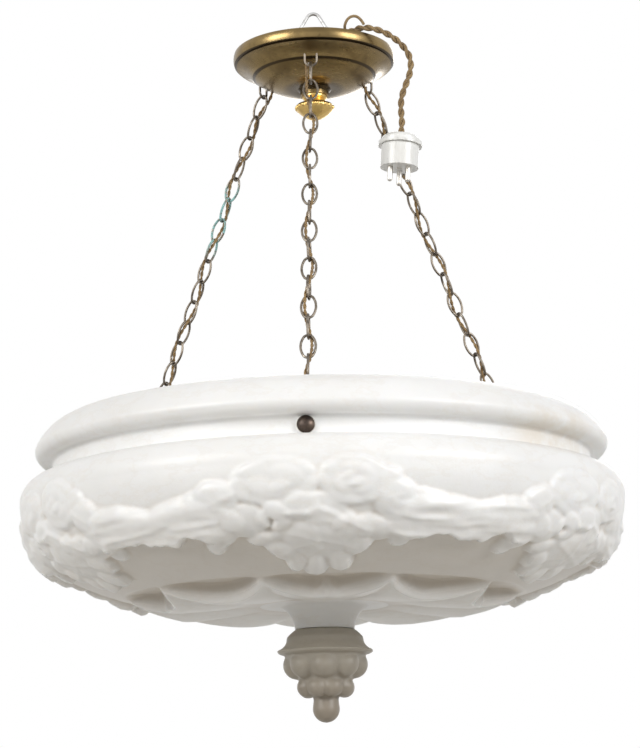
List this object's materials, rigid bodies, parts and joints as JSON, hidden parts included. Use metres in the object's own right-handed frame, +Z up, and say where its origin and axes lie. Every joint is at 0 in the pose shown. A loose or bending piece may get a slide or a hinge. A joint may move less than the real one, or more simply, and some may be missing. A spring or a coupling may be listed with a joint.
{
  "type": "pendant light",
  "caption": "Carved alabaster bowl pendant hanging on chains from a brass ceiling cup, with flexes woven through the chains, a small white plug and a carved finial",
  "frame": {"origin": "the point under the top of the steel bail where a ceiling hook bears", "axes": "+Z is up along the common axis of the cup and bowl; -Y is the front, where one chain hangs in the middle of the view; +X is to the right seen from the front, the plug's side"},
  "size_m": [0.494, 0.5052, 0.606],
  "materials": {
    "alabaster": "satin",
    "aged_brass": "worn",
    "gilt_brass": "polished",
    "holder_brass": "polished",
    "bronze": "worn",
    "steel": "satin",
    "nickel": "polished",
    "flex_braid": "matte",
    "plug_white": "gloss",
    "block_ceramic": "gloss",
    "core_black": "matte"
  },
  "bodies": {
    "root": {"suspension_bail": "steel"},
    "cup": {"hook_strap": "steel", "centre_stem": "steel", "stem_nuts": "steel", "beaded_knob_nut": "gilt_brass", "ceiling_cup": "aged_brass", "cup_eyes": "bronze", "eye_nuts": "steel", "terminal_block": "block_ceramic", "terminal_screws": "nickel", "cup_leads": "flex_braid", "supply_flex": "flex_braid", "plug_cap": "plug_white", "plug_body": "plug_white", "plug_pins": "nickel", "plug_screw": "nickel"},
    "bowl": {"alabaster_bowl": "alabaster", "alabaster_finial": "alabaster", "rim_bolts": "bronze", "rim_washers": "nickel", "rim_nuts": "steel", "clevis_pins": "steel", "holder_nipples": "holder_brass", "nipple_nuts": "holder_brass", "lamp_leads": "flex_braid", "finial_rod": "steel", "finial_washer": "steel", "finial_nut": "steel", "hook_bracket_front": "steel", "lampholder_cap_front": "holder_brass", "lampholder_skirt_front": "holder_brass", "shade_ring_front": "holder_brass", "lampholder_core_front": "core_black", "hook_bracket_right": "steel", "lampholder_cap_right": "holder_brass", "lampholder_skirt_right": "holder_brass", "shade_ring_right": "holder_brass", "lampholder_core_right": "core_black", "hook_bracket_left": "steel", "lampholder_cap_left": "holder_brass", "lampholder_skirt_left": "holder_brass", "shade_ring_left": "holder_brass", "lampholder_core_left": "core_black"},
    "chain_front": {"chain_front": "bronze", "chain_flex_front": "flex_braid"},
    "plungers_front": {"contact_plungers_front": "nickel"},
    "chain_right": {"chain_right": "bronze", "chain_flex_right": "flex_braid"},
    "plungers_right": {"contact_plungers_right": "nickel"},
    "chain_left": {"chain_left": "bronze", "chain_flex_left": "flex_braid"},
    "plungers_left": {"contact_plungers_left": "nickel"}
  },
  "joints": [
    {"name": "bail_swing", "type": "hinge", "parent": "root", "child": "cup", "pos_m": [0, 0, -0.042], "axis": [1, 0, 0], "range_deg": [-25, 25]},
    {"name": "bowl_sway", "type": "hinge", "parent": "cup", "child": "bowl", "pos_m": [0, 0, 0.05525], "axis": [0, 1, 0], "range_deg": [-3, 3]},
    {"name": "chain_front_swing", "type": "hinge", "parent": "cup", "child": "chain_front", "pos_m": [0, -0.053, -0.064], "axis": [0, 1, 0], "range_deg": [-4.2, 4.2]},
    {"name": "chain_right_swing", "type": "hinge", "parent": "cup", "child": "chain_right", "pos_m": [0.0459, 0.0265, -0.064], "axis": [0, 1, 0], "range_deg": [-4.2, 4.2]},
    {"name": "chain_left_swing", "type": "hinge", "parent": "cup", "child": "chain_left", "pos_m": [-0.0459, 0.0265, -0.064], "axis": [0, 1, 0], "range_deg": [-4.2, 4.2]},
    {"name": "contact_press_front", "type": "slide", "parent": "bowl", "child": "plungers_front", "axis": [0, -1, 0], "range_m": [0, 0.0025], "stiffness_N_per_m": 800},
    {"name": "contact_press_right", "type": "slide", "parent": "bowl", "child": "plungers_right", "axis": [0.866, 0.5, 0], "range_m": [0, 0.0025], "stiffness_N_per_m": 800},
    {"name": "contact_press_left", "type": "slide", "parent": "bowl", "child": "plungers_left", "axis": [-0.866, 0.5, 0], "range_m": [0, 0.0025], "stiffness_N_per_m": 800}
  ],
  "couplings": [
    {"joint": "chain_front_swing", "follows": "bowl_sway", "ratio": 1.368},
    {"joint": "chain_right_swing", "follows": "bowl_sway", "ratio": 1.368},
    {"joint": "chain_left_swing", "follows": "bowl_sway", "ratio": 1.368}
  ]
}
